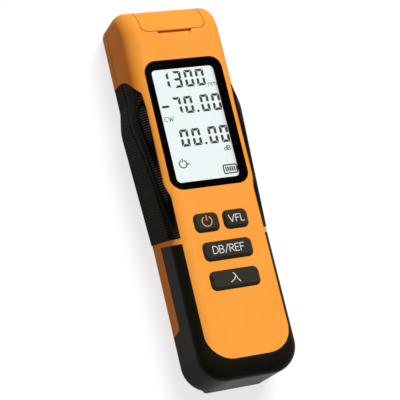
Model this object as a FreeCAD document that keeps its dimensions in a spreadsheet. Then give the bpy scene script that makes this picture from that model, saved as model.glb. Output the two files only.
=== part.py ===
import FreeCAD, Part
import math
import os
import re

import Sketcher
from FreeCAD import Rotation, Vector

# Pocket optical power meter with a visual fault locator, lying on its back.
# X runs across the meter, Y towards the port end (the head), Z out of the screen.
# The back rests on Z = 0 and the case is centred on X = 0, Y = 0.

doc = FreeCAD.newDocument("optical_power_meter")

# ---------------------------------------------------------------- driving dimensions, mm

SIZES = (
    # case
    ("body_length", 149.5),
    ("body_width", 41.0),
    ("waist_width", 39.4),
    ("body_depth", 27.3),
    ("head_length", 38.5),
    ("taper_length", 57.0),
    ("side_blend", 40.0),
    ("head_corner", 4.6),
    ("head_round", 13.0),
    ("foot_corner", 10.5),
    ("front_round", 6.4),
    ("back_round", 3.7),
    ("wall", 2.4),
    ("skin", 1.2),
    ("parting_height", 7.6),
    ("seam_width", 0.3),
    ("seam_depth", 0.35),
    ("lip_height", 1.5),
    ("lip_thickness", 1.0),
    ("fit_gap", 0.1),
    # port cover
    ("cover_width", 26.4),
    ("cover_drop", 12.4),
    ("cover_corner", 2.6),
    ("cover_thickness", 1.6),
    ("cover_gap", 0.2),
    ("pin_radius", 0.8),
    ("pin_reach", 2.2),
    ("pin_clearance", 0.05),
    ("scoop_width", 14.6),
    ("scoop_depth", 1.4),
    ("scoop_radius", 4.0),
    # port bay
    ("bay_width", 21.6),
    ("bay_wall", 3.0),
    ("bay_top_wall", 3.4),
    ("bay_depth", 15.0),
    ("bay_back_wall", 1.0),
    ("plate_thickness", 2.0),
    ("plate_bite", 1.6),
    ("plate_rise", 0.25),
    ("flange_radius", 4.8),
    ("flange_thickness", 1.4),
    ("neck_radius", 3.6),
    ("neck_length", 3.4),
    ("thread_radius", 3.0),
    ("thread_reach", 0.4),
    ("nut_radius", 4.4),
    ("nut_thickness", 1.6),
    ("ferrule_bore_radius", 1.26),
    ("bore_depth", 7.0),
    ("sleeve_wall", 0.4),
    ("photodiode_radius", 2.7),
    ("photodiode_length", 4.2),
    ("can_rim", 0.5),
    ("can_rim_thickness", 0.9),
    ("lead_radius", 0.35),
    ("lead_length", 3.0),
    ("laser_radius", 3.2),
    ("laser_length", 18.0),
    ("laser_collar_radius", 2.3),
    ("collar_length", 2.5),
    # display
    ("window_width", 31.9),
    ("window_height", 52.1),
    ("window_corner", 4.9),
    ("window_drop", 24.85),
    ("lens_recess", 0.1),
    ("lens_thickness", 1.2),
    ("lens_gap", 0.1),
    ("tape_thickness", 0.05),
    ("view_width", 25.7),
    ("view_height", 45.8),
    ("view_corner", 1.8),
    ("frame_lip", 0.4),
    ("frame_flange", 0.9),
    ("frame_rim_height", 1.2),
    ("lcd_width", 28.6),
    ("lcd_height", 48.6),
    ("lcd_thickness", 2.0),
    ("backlight_thickness", 2.6),
    ("strip_width", 2.4),
    # keys
    ("small_key_width", 10.1),
    ("large_key_width", 19.9),
    ("key_height", 7.5),
    ("key_corner", 2.25),
    ("key_pitch_x", 11.8),
    ("key_row_drop", 90.7),
    ("key_row_pitch", 11.3),
    ("key_gap", 0.22),
    ("key_proud", 1.1),
    ("key_bevel", 0.9),
    ("key_edge_round", 0.3),
    ("key_flange", 0.6),
    ("key_flange_thickness", 1.1),
    ("key_travel", 0.6),
    ("stem_radius", 1.8),
    ("stem_length", 0.8),
    ("mat_thickness", 1.0),
    ("mat_width", 26.0),
    ("switch_size", 4.5),
    ("switch_height", 0.9),
    ("plunger_radius", 1.1),
    # grips
    ("grip_proud", 1.5),
    ("grip_head_drop", 26.35),
    ("band_width", 2.4),
    ("grip_arch", 22.0),
    ("grip_slope", 6.2),
    ("grip_inner_upper", 18.5),
    ("grip_inner_lower", 17.0),
    ("grip_step_drop", 73.75),
    ("grip_step_length", 5.2),
    ("grip_back_round", 3.7),
    ("grip_edge_proud", 0.2),
    ("grip_ramp_drop", 9.6),
    ("grip_ramp_length", 8.5),
    ("step_round", 5.5),
    # end boot
    ("boot_length", 51.5),
    ("boot_slope", 4.2),
    ("boot_collar", 21.5),
    ("boot_arm_height", 11.0),
    ("collar_slope", 2.0),
    ("collar_corner", 2.5),
    ("face_width", 33.7),
    ("face_corner", 10.1),
    ("face_end_gap", 6.9),
    # battery bay and door
    ("cell_radius", 5.25),
    ("cell_length", 43.5),
    ("cell_foot_round", 0.5),
    ("cell_head_round", 0.8),
    ("nub_radius", 1.9),
    ("nub_length", 1.0),
    ("cell_gap", 0.2),
    ("cell_clearance", 0.3),
    ("spring_length", 4.4),
    ("spring_radius", 2.6),
    ("spring_wire", 0.3),
    ("contact_thickness", 0.4),
    ("contact_height", 8.0),
    ("tab_width", 2.4),
    ("tub_wall", 1.0),
    ("tub_foot_gap", 11.0),
    ("door_width", 24.4),
    ("door_thickness", 1.8),
    ("door_recess", 0.2),
    ("door_gap", 0.15),
    ("door_margin", 1.5),
    ("rail_width", 0.9),
    ("rail_thickness", 0.8),
    ("groove_drop", 8.0),
    ("groove_pitch", 2.2),
    ("groove_length", 11.2),
    ("groove_width", 1.1),
    ("groove_depth", 0.5),
    ("lip_corner", 1.6),
    ("lip_depth", 1.8),
    ("lip_rise", 2.8),
    # boards and screws
    ("board_width", 32.8),
    ("board_thickness", 1.6),
    ("board_foot_gap", 22.9),
    ("board_head_gap", 20.0),
    ("boss_radius", 2.6),
    ("boss_spacing", 31.2),
    ("boss_head_gap", 20.35),
    ("boss_foot_gap", 28.9),
    ("screw_radius", 1.0),
    ("screw_head_radius", 1.8),
    ("screw_head_height", 1.3),
    ("screw_head_depth", 2.0),
    ("screw_grip", 7.0),
    ("cross_reach", 1.1),
    ("cross_half", 0.22),
    ("post_radius", 1.9),
    ("post_spacing", 28.4),
    ("post_drop", 82.55),
    ("foot_post_gap", 28.4),
    ("board_screw_radius", 0.8),
    ("board_screw_head", 1.6),
    ("board_screw_head_height", 1.0),
    ("board_notch_gap", 0.3),
    ("chip_width", 10.0),
    ("chip_height", 1.4),
    ("chip_corner", 0.6),
    ("shield_width", 11.0),
    ("shield_length", 13.0),
    ("shield_height", 2.2),
    ("shield_shift", 1.4),
    ("shield_overlap", 0.9),
)

# Places worked out from the sizes above; each may use the ones before it.
LAYOUT = (
    ("head_y", "body_length / 2"),
    ("foot_y", "-body_length / 2"),
    ("taper_y", "head_y - head_length"),
    ("waist_y", "taper_y - taper_length"),
    ("front_inner", "body_depth - wall"),
    ("cover_y", "head_y - cover_drop"),
    ("hinge_y", "head_y - back_round"),
    ("hinge_z", "back_round"),
    ("cover_seat", "cover_thickness + fit_gap"),
    ("bay_y", "head_y - bay_depth"),
    ("bay_top", "body_depth - bay_top_wall"),
    ("port_z", "(parting_height + bay_top) / 2"),
    ("port_x", "bay_width / 4"),
    ("neck_end", "bay_y + flange_thickness + neck_length"),
    ("plate_back", "bay_y - plate_thickness"),
    ("nut_back", "plate_back - nut_thickness"),
    ("bay_back", "plate_back - bay_back_wall"),
    ("thread_end", "nut_back - thread_reach"),
    ("window_y", "head_y - window_drop - window_height / 2"),
    ("lens_top", "body_depth - lens_recess"),
    ("lens_bottom", "lens_top - lens_thickness"),
    ("rim_top", "lens_bottom - tape_thickness"),
    ("flange_top", "rim_top - frame_rim_height"),
    ("lcd_top", "rim_top - frame_lip"),
    ("lcd_bottom", "lcd_top - lcd_thickness"),
    ("board_top", "lcd_bottom - backlight_thickness"),
    ("board_bottom", "board_top - board_thickness"),
    ("frame_width", "window_width + 2 * frame_flange"),
    ("frame_height", "window_height + 2 * frame_flange"),
    ("key_y1", "head_y - key_row_drop"),
    ("key_y2", "key_y1 - key_row_pitch"),
    ("key_y3", "key_y2 - key_row_pitch"),
    ("key_flange_top", "front_inner - fit_gap"),
    ("key_flange_bottom", "key_flange_top - key_flange_thickness"),
    ("stem_bottom", "key_flange_bottom - stem_length"),
    ("plunger_top", "stem_bottom - key_travel - fit_gap"),
    ("mat_top", "key_flange_bottom - key_travel - fit_gap"),
    ("grip_y", "head_y - grip_head_drop"),
    ("ramp_y", "grip_y - grip_ramp_drop"),
    ("step_y", "head_y - grip_step_drop"),
    ("boot_y", "foot_y + boot_length"),
    ("grip_foot_y", "boot_y + band_width"),
    ("collar_y", "foot_y + boot_collar"),
    ("tub_foot", "foot_y + tub_foot_gap"),
    ("tub_half", "2 * cell_radius + cell_gap / 2 + cell_clearance"),
    ("tub_length", "cell_length + nub_length + spring_length + 2 * contact_thickness + cell_clearance"),
    ("tub_head", "tub_foot + tub_length"),
    ("door_top", "door_recess + door_thickness"),
    ("cell_z", "door_top + cell_clearance + cell_radius"),
    ("cell_x", "cell_radius + cell_gap / 2"),
    ("tub_top", "cell_z + cell_radius + cell_clearance"),
    ("door_head", "tub_head + door_margin"),
    ("rail_z", "door_top - rail_thickness"),
    ("boss_x", "boss_spacing / 2"),
    ("boss_head_y", "head_y - boss_head_gap"),
    ("boss_foot_y", "foot_y + boss_foot_gap"),
    ("post_x", "post_spacing / 2"),
    ("post_y", "head_y - post_drop"),
    ("foot_post_y", "foot_y + foot_post_gap"),
)

sheet = doc.addObject("Spreadsheet::Sheet", "Sizes")
for row, (alias, size) in enumerate(SIZES, start=1):
    sheet.set("A%d" % row, alias)
    sheet.set("B%d" % row, str(size))
    sheet.setAlias("B%d" % row, alias)

HOME = {alias: "Sizes" for alias, _ in SIZES}
HOME.update({alias: "Layout" for alias, _ in LAYOUT})


def bound(text):
    """Turn a formula in plain names into one that points at the sheets' cells; max() stays as it is."""
    return re.sub(r"\b[a-z][a-z_0-9]*\b(?!\()", lambda m: "%s.%s" % (HOME[m.group()], m.group()), text)


layout = doc.addObject("Spreadsheet::Sheet", "Layout")
for row, (alias, formula) in enumerate(LAYOUT, start=1):
    layout.set("A%d" % row, alias)
    layout.set("B%d" % row, "=" + bound(formula).replace("Layout.", ""))
    layout.setAlias("B%d" % row, alias)
doc.recompute()


def value(text):
    """The present value of a formula."""
    return float(sheet.evalExpression(bound(text)))


def minus(text):
    return "-(%s)" % text


# ---------------------------------------------------------------- sketches and features

def body(label):
    made = doc.addObject("PartDesign::Body", label)
    made.Label = label
    return made


def sketch(owner, name, role, across="0", up="0", out="0"):
    """A sketch on one of the body's own origin planes, shifted in the plane's own axes."""
    made = owner.newObject("Sketcher::SketchObject", name)
    plane = next(f for f in owner.Origin.OriginFeatures if f.Role == role)
    made.AttachmentSupport = (plane, [""])
    made.MapMode = "FlatFace"
    for axis, shift in zip("xyz", (across, up, out)):
        made.setExpression("AttachmentOffset.Base." + axis, bound(shift))
    return made


def constrain(sk, kind, *where_and_text):
    """Add a dimension whose value is bound to a formula."""
    *where, text = where_and_text
    index = sk.addConstraint(Sketcher.Constraint(kind, *where, value(text)))
    sk.setExpression("Constraints[%d]" % index, bound(text))


def corner_ends(before, here, after, radius):
    """Where a rounded corner starts and stops, its centre, and whether it turns left."""
    back = (before - here).normalize()
    ahead = (after - here).normalize()
    half = back.getAngle(ahead) / 2
    run = radius / math.tan(half)
    centre = here + (back + ahead).normalize() * (radius / math.sin(half))
    return here + back * run, here + ahead * run, centre, back.cross(ahead).z < 0


def profile(sk, corners):
    """Close a loop of straight sides; each corner is (x, y, radius) as formulas."""
    points = [Vector(value(x), value(y), 0) for x, y, _ in corners]
    count = len(points)
    ends = []
    for i, (_, _, radius) in enumerate(corners):
        here = points[i]
        if radius == "0":
            ends.append((here, here, None, None))
        else:
            ends.append(corner_ends(points[i - 1], here, points[(i + 1) % count], value(radius)))
    sides = [sk.addGeometry(Part.LineSegment(ends[i][1], ends[(i + 1) % count][0]), False)
             for i in range(count)]
    for i, (x, y, radius) in enumerate(corners):
        before, after = sides[i - 1], sides[i]
        first, last, centre, left = ends[i]
        if centre is None:
            sk.addConstraint(Sketcher.Constraint("Coincident", before, 2, after, 1))
            held = after
        else:
            start, stop = (first, last) if left else (last, first)
            angles = [math.atan2(p.y - centre.y, p.x - centre.x) for p in (start, stop)]
            if angles[1] < angles[0]:
                angles[1] += 2 * math.pi
            circle = Part.Circle(centre, Vector(0, 0, 1), value(radius))
            arc = sk.addGeometry(Part.ArcOfCircle(circle, *angles), False)
            held = sk.addGeometry(Part.Point(points[i]), True)
            entry, exit_ = (1, 2) if left else (2, 1)
            sk.addConstraint(Sketcher.Constraint("Tangent", before, 2, arc, entry))
            sk.addConstraint(Sketcher.Constraint("Tangent", arc, exit_, after, 1))
            sk.addConstraint(Sketcher.Constraint("PointOnObject", held, 1, before))
            sk.addConstraint(Sketcher.Constraint("PointOnObject", held, 1, after))
            constrain(sk, "Radius", arc, radius)
        for kind, text, axis in (("DistanceX", x, -2), ("DistanceY", y, -1)):
            if text == "0":
                sk.addConstraint(Sketcher.Constraint("PointOnObject", held, 1, axis))
            else:
                constrain(sk, kind, -1, 1, held, 1, text)
    return sk


def circle(sk, radius):
    """A circle round the sketch's own origin."""
    ring = sk.addGeometry(Part.Circle(Vector(0, 0, 0), Vector(0, 0, 1), value(radius)), False)
    sk.addConstraint(Sketcher.Constraint("Coincident", ring, 3, -1, 1))
    constrain(sk, "Radius", ring, radius)
    return sk


def rectangle(width, height, radius="0"):
    """Corners of a rectangle centred on the sketch's origin."""
    w, h = "(%s) / 2" % width, "(%s) / 2" % height
    return [(minus(w), minus(h), radius), (w, minus(h), radius), (w, h, radius), (minus(w), h, radius)]


def extrude(kind, owner, sk, name, length, middle=False, flip=False):
    made = owner.newObject("PartDesign::" + kind, name)
    made.Profile = sk
    made.setExpression("Length", bound(length))
    made.Midplane = middle
    made.Reversed = flip
    doc.recompute()
    return made


def pad(owner, sk, name, length, **how):
    return extrude("Pad", owner, sk, name, length, **how)


def pocket(owner, sk, name, length, **how):
    return extrude("Pocket", owner, sk, name, length, **how)


def edges_at(shape, height):
    """Names of the edges that lie level at one height."""
    names = []
    for number, edge in enumerate(shape.Edges, start=1):
        box = edge.BoundBox
        if abs(box.ZMin - height) < 1e-6 and abs(box.ZMax - height) < 1e-6:
            names.append("Edge%d" % number)
    return names


def edges_above(shape, x, y):
    """Names of the upright edges that stand at (x, y) or at its mirror image."""
    names = []
    for number, edge in enumerate(shape.Edges, start=1):
        ends = [vertex.Point for vertex in edge.Vertexes]
        upright = abs(ends[0].z - ends[-1].z) > 1e-6
        if upright and all(abs(abs(p.x) - x) < 1e-6 and abs(p.y - y) < 1e-6 for p in ends):
            names.append("Edge%d" % number)
    return names


def split_edges(shape, names, y):
    """Part the edges that lie along one y from the others."""
    along = [name for name in names
             if all(abs(v.Point.y - y) < 1e-6 for v in shape.getElement(name).Vertexes)]
    return along, [name for name in names if name not in along]


def fillet(owner, base, name, radius, height):
    """Round the level edges at one height, if the radius leaves anything to round."""
    if value(radius) <= 0.05:
        return base
    made = owner.newObject("PartDesign::Fillet", name)
    made.Base = (base, edges_at(base.Shape, value(height)))
    made.setExpression("Radius", bound(radius))
    doc.recompute()
    return made


def prism(label, role, corners, start, length, across="0", up="0", middle=False):
    """One padded outline as a body of its own."""
    made = body(label)
    sk = profile(sketch(made, label + "_outline", role, across, up, start), corners)
    pad(made, sk, label + "_pad", length, middle=middle)
    return made


def place(made, x, y, z):
    for axis, text in zip("xyz", (x, y, z)):
        made.setExpression("Placement.Base." + axis, bound(text))


def block(label, x, y, z):
    """A box given by its low and high formula on each axis."""
    made = doc.addObject("Part::Box", label)
    for side, (low, high) in zip(("Length", "Width", "Height"), (x, y, z)):
        made.setExpression(side, bound("(%s) - (%s)" % (high, low)))
    place(made, x[0], y[0], z[0])
    return made


TURN = {"X": Rotation(Vector(0, 1, 0), 90), "Y": Rotation(Vector(1, 0, 0), -90), "Z": Rotation()}


def rod(label, axis, x, y, z, radius, length):
    """A cylinder from one point along a positive axis."""
    made = doc.addObject("Part::Cylinder", label)
    made.Placement.Rotation = TURN[axis]
    made.setExpression("Radius", bound(radius))
    made.setExpression("Height", bound(length))
    place(made, x, y, z)
    return made


def fuse(label, *parts):
    made = doc.addObject("Part::MultiFuse", label)
    made.Shapes = list(parts)
    doc.recompute()
    return made


def common(label, first, second):
    made = doc.addObject("Part::Common", label)
    made.Base = first
    made.Tool = second
    doc.recompute()
    return made


def cut(label, base, *tools):
    made = doc.addObject("Part::Cut", label)
    made.Base = base
    made.Tool = tools[0] if len(tools) == 1 else fuse(label + "_tools", *tools)
    doc.recompute()
    return made


PARTS = []


def finished(made, label):
    """Give a sub-part its own label and keep it for export."""
    made.Label = label
    PARTS.append(made)
    return made


# ---------------------------------------------------------------- the case's forms

FAR = "body_length"


def mirrored(side):
    """A loop from its right-hand corners, listed from the foot up."""
    return side + [(minus(x), y, r) for x, y, r in reversed(side)]


def rounded(label, base, roundings):
    """Round several sets of edges at once, each set with its own radius."""
    made = doc.addObject("Part::Fillet", label)
    made.Base = base
    made.Edges = [(int(name[4:]), value(radius), value(radius))
                  for names, radius in roundings if value(radius) > 0.05 for name in names]
    doc.recompute()
    return made


def case_form(label, inset):
    """The whole case as one rounded block, drawn in by an inset on every side."""
    made = body(label + "_body")
    sk = sketch(made, label + "_outline", "XY_Plane", out=inset)
    profile(sk, mirrored([
        ("waist_width / 2 - (%s)" % inset, "foot_y + (%s)" % inset, "foot_corner - (%s)" % inset),
        ("waist_width / 2 - (%s)" % inset, "waist_y", "side_blend"),
        ("body_width / 2 - (%s)" % inset, "taper_y", "side_blend"),
        ("body_width / 2 - (%s)" % inset, "head_y - (%s)" % inset, "0"),
    ]))
    pad(made, sk, label + "_block", "body_depth - 2 * (%s)" % inset)
    corner_x, corner_y = value("body_width / 2 - (%s)" % inset), value("head_y - (%s)" % inset)
    head, rest = split_edges(made.Shape, edges_at(made.Shape, value("body_depth - (%s)" % inset)), corner_y)
    return rounded(label, made, (
        (head, "head_round - (%s)" % inset),
        (rest, "front_round - (%s)" % inset),
        (edges_at(made.Shape, value(inset)), "back_round - (%s)" % inset),
        (edges_above(made.Shape, corner_x, corner_y), "head_corner - (%s)" % inset),
    ))


outer = case_form("outer_form", "0")
seam_form = case_form("seam_form", "seam_depth")
seat = case_form("seat_form", "skin")
cover_inner = case_form("cover_inner_form", "cover_thickness")
cover_seat = case_form("cover_seat_form", "cover_seat")
cavity = case_form("cavity_form", "wall")

ALL_X = (minus(FAR), FAR)
ALL_Y = (minus(FAR), FAR)
front_half = block("front_half", ALL_X, ALL_Y, ("parting_height", "2 * body_depth"))
back_half = block("back_half", ALL_X, ALL_Y, ("-body_depth", "parting_height"))
seam = cut("seam_groove", block("seam_slab", ALL_X, ("grip_y - grip_arch", FAR),
                                ("parting_height - seam_width / 2", "parting_height + seam_width / 2")),
           seam_form)

# ---------------------------------------------------------------- grips


def grip_form():
    """The grips' outer surface: proud of the case in the middle and flush at both ends."""
    made = body("grip_form")
    sk = sketch(made, "grip_form_outline", "XY_Plane")
    profile(sk, mirrored([
        ("waist_width / 2 + grip_edge_proud", "foot_y", "foot_corner"),
        ("waist_width / 2 + grip_edge_proud", "grip_foot_y", "side_blend"),
        ("body_width / 2 + grip_proud", "ramp_y - grip_ramp_length", "grip_arch"),
        ("body_width / 2 - fit_gap", "ramp_y", "step_round"),
        ("body_width / 2 - fit_gap", "head_y", "0"),
    ]))
    block_ = pad(made, sk, "grip_form_block", "body_depth")
    front = fillet(made, block_, "grip_form_front", "front_round", "body_depth")
    fillet(made, front, "grip_form_back", "grip_back_round", "0")
    return made


def grip_region(label, gap):
    """Where the grips lie: an arch seen from the side, a stepped edge seen from the front."""
    side = prism(label + "_side", "YZ_Plane", [
        ("grip_foot_y - (%s)" % gap, "body_depth + wall", "0"),
        ("grip_foot_y + grip_slope - (%s)" % gap, "-wall", "0"),
        ("grip_y + (%s)" % gap, "-wall", "0"),
        ("grip_y + (%s)" % gap, "body_depth + wall / 2", "grip_arch"),
    ], "0", "2 * body_width", middle=True)
    inner = prism(label + "_inner", "XY_Plane", mirrored([
        ("grip_inner_lower - (%s)" % gap, minus(FAR), "0"),
        ("grip_inner_lower - (%s)" % gap, "step_y - grip_step_length", "step_round"),
        ("grip_inner_upper - (%s)" % gap, "step_y", "step_round"),
        ("grip_inner_upper - (%s)" % gap, FAR, "0"),
    ]), "-body_depth", "3 * body_depth")
    return cut(label, side, inner)


grip_shape = grip_form()
grip_zone = grip_region("grip_zone", "0")
grip_pocket = cut("grip_pocket", grip_zone, seat)
grip_skin = common("grip_skin", grip_shape, grip_pocket)

for label, reach in (("grip_left", (minus(FAR), "0")), ("grip_right", ("0", FAR))):
    half = block(label + "_half", reach, ALL_Y, ("-body_depth", "2 * body_depth"))
    finished(common(label + "_solid", grip_skin, half), label)

# ---------------------------------------------------------------- end boot

door_half = "door_width / 2"


def door_notch(label, gap):
    """The room that the battery door and its end lip take at the foot."""
    slot = block(label + "_slot", (minus("%s + %s" % (door_half, gap)), "%s + %s" % (door_half, gap)),
                 (minus(FAR), "door_head + (%s)" % gap), ("-wall", "door_top + fit_gap"))
    rail = block(label + "_rail",
                 (minus("%s + rail_width + %s" % (door_half, gap)), "%s + rail_width + %s" % (door_half, gap)),
                 (minus(FAR), "door_head + (%s)" % gap), ("rail_z - fit_gap", "door_top + fit_gap"))
    lip = block(label + "_lip", (minus("%s + %s" % (door_half, gap)), "%s + %s" % (door_half, gap)),
                (minus(FAR), "foot_y + lip_depth + (%s)" % gap),
                ("-wall", "door_recess + lip_rise + fit_gap"))
    return fuse(label, slot, rail, lip)


boot_side = prism("boot_side", "YZ_Plane", [
    ("boot_y", "body_depth + wall", "0"),
    ("boot_y + boot_slope", "boot_arm_height", "0"),
    ("collar_y + collar_slope", "boot_arm_height", "collar_corner"),
    ("collar_y", "-wall", "0"),
    (minus(FAR), "-wall", "0"),
    (minus(FAR), "body_depth + wall", "0"),
], "0", "2 * body_width", middle=True)
boot_face = prism("boot_face", "XY_Plane", [
    ("-face_width / 2", "foot_y + face_end_gap", "face_corner"),
    ("face_width / 2", "foot_y + face_end_gap", "face_corner"),
    ("face_width / 2", FAR, "0"),
    ("-face_width / 2", FAR, "0"),
], "boot_arm_height", "body_depth")
notch = door_notch("door_notch", "door_gap")
boot_pocket = cut("boot_pocket", boot_side, boot_face, seat)
finished(cut("boot_solid", common("boot_skin", outer, boot_pocket), notch), "end_boot")

# ---------------------------------------------------------------- port cover and pin

cover_half = "cover_width / 2"
cheek_end = "%s + pin_reach + wall / 2" % cover_half


def cover_zone(label, gap):
    """The cover's outline seen from the front, down to the level of its pin."""
    return prism(label, "XY_Plane", [
        (minus("%s + %s" % (cover_half, gap)), "cover_y - (%s)" % gap, "cover_corner"),
        ("%s + %s" % (cover_half, gap), "cover_y - (%s)" % gap, "cover_corner"),
        ("%s + %s" % (cover_half, gap), FAR, "0"),
        (minus("%s + %s" % (cover_half, gap)), FAR, "0"),
    ], "hinge_z", "2 * body_depth")


def port_cover():
    skin = cut("cover_skin", common("cover_outside", outer, cover_zone("cover_zone", "0")), cover_inner)
    barrel = rod("cover_barrel", "X", minus(cover_half), "hinge_y", "hinge_z", "back_round", "cover_width")
    bore = rod("cover_bore", "X", minus(FAR), "hinge_y", "hinge_z", "pin_radius + pin_clearance",
               "2 * body_length")
    return cut("cover_solid", fuse("cover_blank", skin, barrel), bore)


finished(port_cover(), "port_cover")
finished(rod("pin_solid", "X", minus("%s + pin_reach" % cover_half), "hinge_y", "hinge_z", "pin_radius",
             "cover_width + 2 * pin_reach"), "cover_pin")

cover_pocket = cut("cover_pocket", cover_zone("cover_room", "cover_gap"), cover_seat)
barrel_pocket = rod("barrel_pocket", "X", minus("%s + cover_gap" % cover_half), "hinge_y", "hinge_z",
                    "back_round + cover_gap", "cover_width + 2 * cover_gap")
pin_holes = rod("pin_holes", "X", minus("%s + pin_reach" % cover_half), "hinge_y", "hinge_z",
                "pin_radius", "cover_width + 2 * pin_reach")

# ---------------------------------------------------------------- window, frame and display


def window_prism(label, width, height, radius, low, high, cut_y="window_y"):
    return prism(label, "XY_Plane", rectangle(width, height, radius), low, "(%s) - (%s)" % (high, low),
                 up=cut_y)


finished(window_prism("lens_solid", "window_width", "window_height", "window_corner", "lens_bottom",
                      "lens_top"), "display_lens")


def lcd_frame():
    """A moulded frame: a rim that carries the lens, a flange behind the wall, walls round the LCD."""
    made = body("lcd_frame_body")
    flange = profile(sketch(made, "frame_outline", "XY_Plane", up="window_y", out="board_top"),
                     rectangle("frame_width", "frame_height", "window_corner"))
    pad(made, flange, "frame_block", "flange_top - board_top")
    rim = profile(sketch(made, "rim_outline", "XY_Plane", up="window_y", out="flange_top"),
                  rectangle("window_width - 2 * lens_gap", "window_height - 2 * lens_gap", "window_corner"))
    pad(made, rim, "frame_rim", "frame_rim_height")
    view = profile(sketch(made, "view_outline", "XY_Plane", up="window_y", out="rim_top"),
                   rectangle("view_width", "view_height", "view_corner"))
    pocket(made, view, "frame_view", "body_depth")
    room = profile(sketch(made, "lcd_room_outline", "XY_Plane", up="window_y", out="lcd_top"),
                   rectangle("lcd_width + 2 * fit_gap", "lcd_height + 2 * fit_gap"))
    pocket(made, room, "frame_lcd_room", "body_depth")
    return made


finished(lcd_frame(), "lcd_frame")
finished(window_prism("lcd_solid", "lcd_width", "lcd_height", "fit_gap", "lcd_bottom", "lcd_top"), "lcd_cell")
strip_room = "strip_width + 2 * fit_gap"
finished(window_prism("backlight_solid", "lcd_width", "lcd_height - (%s)" % strip_room, "fit_gap",
                      "board_top", "lcd_bottom", "window_y + (%s) / 2" % strip_room), "backlight")
finished(window_prism("strip_solid", "view_width", "strip_width", "fit_gap", "board_top", "lcd_bottom",
                      "window_y - lcd_height / 2 + strip_width / 2"), "display_connector")

# ---------------------------------------------------------------- keys, mat and switches

KEYS = (
    ("power_key", "-key_pitch_x / 2", "key_y1", "small_key_width"),
    ("vfl_key", "key_pitch_x / 2", "key_y1", "small_key_width"),
    ("reference_key", "0", "key_y2", "large_key_width"),
    ("wavelength_key", "0", "key_y3", "large_key_width"),
)


def key(label, x, y, width):
    """A rubber key: a crowned cap, a flange that stops behind the wall, a stem to the switch."""
    made = body(label + "_body")
    flange = profile(sketch(made, label + "_flange", "XY_Plane", x, y, "key_flange_bottom"),
                     rectangle("%s + 2 * key_flange" % width, "key_height + 2 * key_flange", "key_corner"))
    pad(made, flange, label + "_flange_pad", "key_flange_thickness")
    cap = profile(sketch(made, label + "_cap", "XY_Plane", x, y, "key_flange_top"),
                  rectangle("%s - 2 * key_gap" % width, "key_height - 2 * key_gap", "key_corner - key_gap"))
    raised = pad(made, cap, label + "_cap_pad", "body_depth + key_proud - key_flange_top")
    bevel = made.newObject("PartDesign::Chamfer", label + "_bevel")
    bevel.Base = (raised, edges_at(raised.Shape, value("body_depth + key_proud")))
    bevel.setExpression("Size", bound("key_bevel"))
    doc.recompute()
    fillet(made, bevel, label + "_crown", "key_edge_round", "body_depth + key_proud")
    stem = circle(sketch(made, label + "_stem", "XY_Plane", x, y, "key_flange_bottom"), "stem_radius")
    pad(made, stem, label + "_stem_pad", "stem_length", flip=True)
    return made


for label, x, y, width in KEYS:
    finished(key(label, x, y, width), label)

key_openings = [prism(label + "_opening", "XY_Plane", rectangle(width, "key_height", "key_corner"),
                      "front_inner - wall", "2 * wall + key_proud", across=x, up=y)
                for label, x, y, width in KEYS]


POSTS = [("-post_x", "post_y"), ("post_x", "post_y"), ("0", "foot_post_y")]


def keypad_mat():
    """A silicone sheet over the switches with a hole for each stem, cut back where it would meet a post."""
    top, foot = "key_y1 + key_height / 2 + key_flange", "key_y3 - key_height / 2 - key_flange"
    made = body("mat_body")
    sheet_ = profile(sketch(made, "mat_outline", "XY_Plane", up="(%s + %s) / 2" % (top, foot),
                            out="mat_top"), rectangle("mat_width", "(%s) - (%s)" % (top, foot), "key_corner"))
    pad(made, sheet_, "mat_sheet", "mat_thickness", flip=True)
    for label, x, y, _ in KEYS:
        hole = circle(sketch(made, label + "_hole", "XY_Plane", x, y, "mat_top"), "stem_radius + key_gap")
        pocket(made, hole, label + "_hole_pocket", "mat_thickness")
    posts = [rod("mat_room_%d" % number, "Z", x, y, "board_top", "post_radius + fit_gap", "mat_top - board_top + wall")
             for number, (x, y) in enumerate(POSTS)]
    return cut("mat_solid", made, *posts)


finished(keypad_mat(), "keypad_mat")


def tact_switches():
    switches = []
    for label, x, y, _ in KEYS:
        reach = "switch_size / 2"
        case = block(label + "_switch_case", ("%s - %s" % (x, reach), "%s + %s" % (x, reach)),
                     ("%s - %s" % (y, reach), "%s + %s" % (y, reach)), ("board_top", "board_top + switch_height"))
        plunger = rod(label + "_plunger", "Z", x, y, "board_top", "plunger_radius", "plunger_top - board_top")
        switches += [case, plunger]
    return fuse("switches_solid", *switches)


finished(tact_switches(), "tact_switches")

# ---------------------------------------------------------------- board, its posts and screws

BOSSES = [(x, y) for y in ("boss_head_y", "boss_foot_y") for x in ("-boss_x", "boss_x")]


def main_board():
    made = body("board_body")
    foot, head = "foot_y + board_foot_gap", "head_y - board_head_gap"
    outline = profile(sketch(made, "board_outline", "XY_Plane", up="(%s + %s) / 2" % (foot, head),
                             out="board_bottom"),
                      rectangle("board_width", "(%s) - (%s)" % (head, foot), "key_corner"))
    pad(made, outline, "board_plate", "board_thickness")
    for number, (x, y) in enumerate(BOSSES):
        name = "board_notch_%d" % number
        notch_ = circle(sketch(made, name, "XY_Plane", x, y, "board_top"), "boss_radius + board_notch_gap")
        pocket(made, notch_, name + "_pocket", "board_thickness")
    for number, (x, y) in enumerate(POSTS):
        name = "board_hole_%d" % number
        hole = circle(sketch(made, name, "XY_Plane", x, y, "board_top"), "board_screw_radius + fit_gap")
        pocket(made, hole, name + "_pocket", "board_thickness")
    return made


finished(main_board(), "main_board")


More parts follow.
